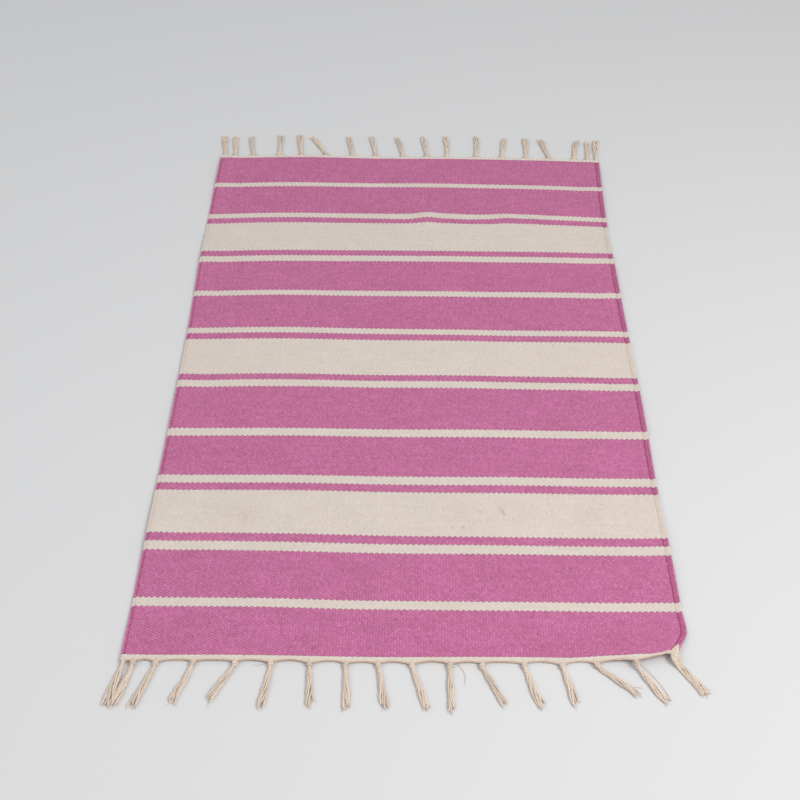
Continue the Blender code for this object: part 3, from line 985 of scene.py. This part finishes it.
def add_tassel(name, bundles, edge_y, out, number):
    """The yarn of one tassel, or of a corner's, where it lies on the floor."""
    draw = np.random.default_rng([SEED, 7 if out > 0 else 3, number])
    tubes, weights = [], []
    corner = len(bundles) > 1
    for place, (x, lean) in enumerate(bundles):
        outermost = corner and (place == 0 if x < 0 else place == len(bundles) - 1)
        x_in = float(np.clip(x, -HALF_WIDTH + OUTERMOST_IN, HALF_WIDTH - OUTERMOST_IN))
        over = TURNED_OVER if outermost and out < 0 and x > 0 else None
        strands = (10 if over else 7) if outermost else int(draw.integers(6, 9))
        add_bundle(tubes, weights, x_in, edge_y, out, lean, draw, strands, not outermost, over)
    if name in THREADS:
        add_thread(tubes, weights, THREADS[name], draw)
    return add_tubes(name, tubes, weights)


# Single threads that have come loose, by the tassel they belong to.
THREADS = {
    "near_yarn_tassel_04": (
        (-0.1440, -0.4550, 0.0020), (-0.1475, -0.4600, 0.0006),
        (-0.1530, -0.4640, 0.0004), (-0.1600, -0.4640, 0.0004),
    ),
    "near_yarn_tassel_09": (
        (0.0530, -0.4560, 0.0020), (0.0600, -0.4620, 0.0006),
        (0.0660, -0.4730, 0.0004), (0.0650, -0.4850, 0.0004),
    ),
    "near_yarn_tassel_13": (
        (0.2330, -0.4890, 0.0006), (0.2360, -0.4860, 0.0004),
        (0.2430, -0.4850, 0.0004), (0.2520, -0.4860, 0.0010),
    ),
    "near_corner_yarn_tassels_14": (
        (0.2530, -0.4560, 0.0040), (0.2640, -0.4700, 0.0008),
        (0.2720, -0.4820, 0.0004), (0.2790, -0.4960, 0.0004),
    ),
}  # fmt: skip

tassels_made = {"near": [], "far": []}
for side, tassels, edge_y, out in (
    ("near", NEAR_TASSELS, NEAR_HEM_Y, -1),
    ("far", FAR_TASSELS, FAR_HEM_Y, 1),
):
    for number, bundles in enumerate(flat_tassels(tassels, edge_y), 1):
        corner = number in (1, len(tassels))
        kind = "corner_tassels" if corner else "tassel"
        node = f"{side}_{kind}_{number:02d}"
        name = node.replace("_tassel", "_yarn_tassel")
        ob = add_tassel(name, bundles, edge_y, out, number)
        ob.data.materials.append(materials["warp"])
        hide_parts(node)
        # where the hem's edge lies, at the tassel's middle
        middle = np.array([np.mean([x for x, _ in bundles])])
        edge = edge_y + lay(middle, np.array([edge_y]))[1][0]
        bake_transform(ob)
        tassels_made[side].append(ob)


# ---- floor, light and camera ----
def floor_material():
    mat = bpy.data.materials.new("pale floor")
    mat.use_nodes = True
    shader = mat.node_tree.nodes["Principled BSDF"]
    shader.inputs["Base Color"].default_value = (*FLOOR, 1)
    shader.inputs["Roughness"].default_value = 0.7
    shader.inputs["Specular IOR Level"].default_value = 0.2
    return mat


FLOOR_SIDE = 8  # half of it
FLOOR_Z = -0.0002
floor_mesh = bpy.data.meshes.new("floor")
signs = ((-1, -1), (1, -1), (1, 1), (-1, 1))
floor_corners = [(FLOOR_SIDE * x, FLOOR_SIDE * y, 0) for x, y in signs]
floor_mesh.from_pydata(floor_corners, [], [(0, 1, 2, 3)])
floor = bpy.data.objects.new("floor", floor_mesh)
floor.location.z = FLOOR_Z
floor_mesh.materials.append(floor_material())
bpy.context.scene.collection.objects.link(floor)

world = bpy.data.worlds.new("studio")
bpy.context.scene.world = world
world.use_nodes = True
world.node_tree.nodes["Background"].inputs["Color"].default_value = (0.97, 0.985, 1.0, 1)
world.node_tree.nodes["Background"].inputs["Strength"].default_value = 0.57


def area_light(name, place, target, size, power, colour):
    lamp = bpy.data.lights.new(name, "AREA")
    lamp.shape = "RECTANGLE"
    lamp.size, lamp.size_y = size
    lamp.energy = power
    lamp.color = colour
    ob = bpy.data.objects.new(name, lamp)
    bpy.context.scene.collection.objects.link(ob)
    ob.location = place
    direction = Vector(target) - Vector(place)
    ob.rotation_mode = "QUATERNION"
    ob.rotation_quaternion = direction.to_track_quat("-Z", "Y")


area_light("key softbox", (1.25, -1.0, 1.85), (0, -0.15, 0), (1.0, 1.0), 27, (1.0, 0.985, 0.965))
area_light("fill softbox", (-1.5, -0.6, 2.0), (0, 0, 0), (1.8, 1.8), 10, (0.97, 0.985, 1.0))

CAMERA_AT = (0.0064, -1.155, 1.1389)
CAMERA_DOWN, CAMERA_TURN = 46.4, 0.8  # degrees
camera_data = bpy.data.cameras.new("camera")
camera_data.lens = 54.9
camera_data.sensor_width = 36
camera_data.clip_start, camera_data.clip_end = 0.05, 50
camera = bpy.data.objects.new("camera", camera_data)
bpy.context.scene.collection.objects.link(camera)
camera.location = CAMERA_AT
camera.rotation_euler = (math.radians(90 - CAMERA_DOWN), 0, math.radians(CAMERA_TURN))
bpy.context.scene.camera = camera
bpy.context.scene.view_settings.view_transform = "Standard"
